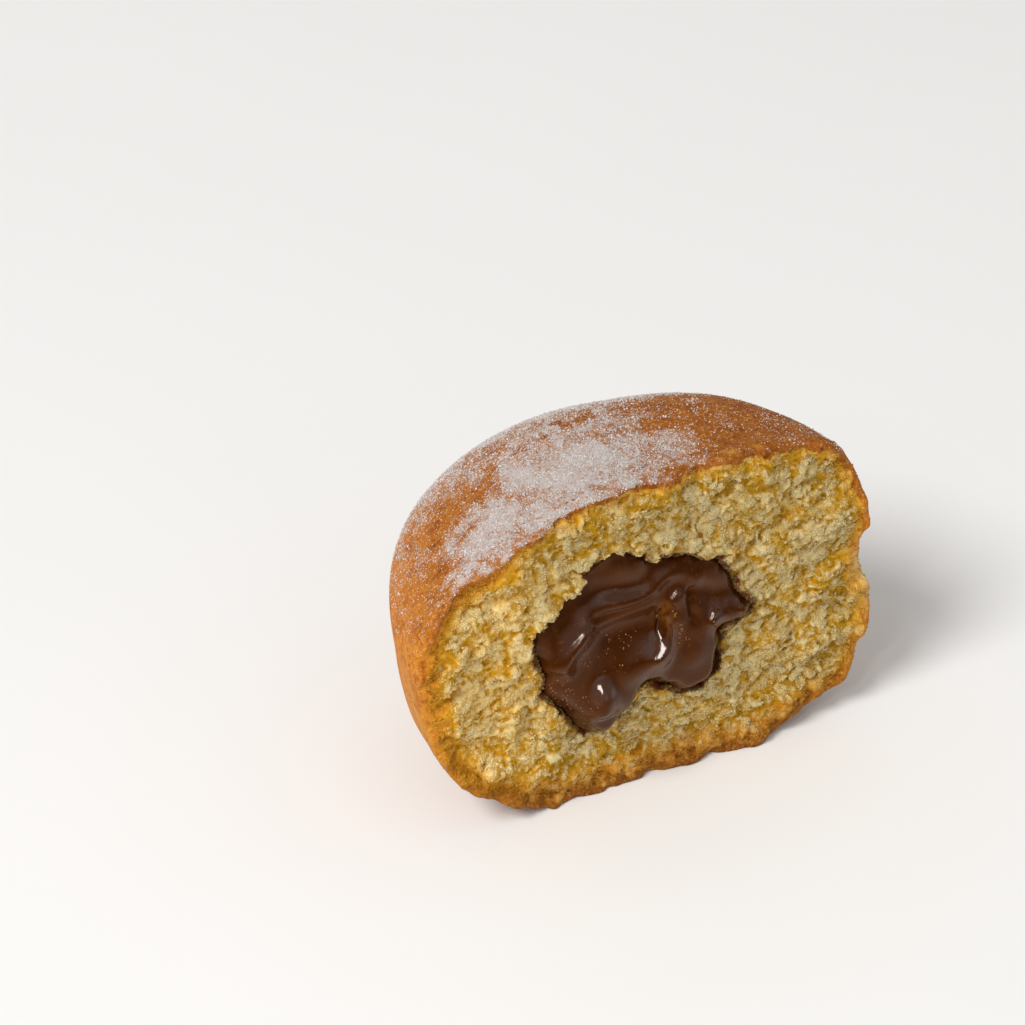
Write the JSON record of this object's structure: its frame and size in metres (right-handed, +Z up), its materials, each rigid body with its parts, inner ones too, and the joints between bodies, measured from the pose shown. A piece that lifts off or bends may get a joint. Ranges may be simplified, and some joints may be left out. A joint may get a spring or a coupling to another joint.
{
  "type": "torn half of a mini filled doughnut",
  "caption": "Torn half of a small round filled doughnut: browned crust dusted with sugar, soft yellow crumb and a pocket of chocolate cream.",
  "frame": {"origin": "middle of the bounding box, on the flat base", "axes": "+X along the torn face, to its right as seen from the front; the torn face looks along -Y; +Z up"},
  "size_m": [0.059, 0.0332, 0.042],
  "materials": {
    "dough": "matte",
    "filling": "gloss"
  },
  "bodies": {
    "root": {"dough": "dough", "filling": "filling"}
  },
  "joints": []
}
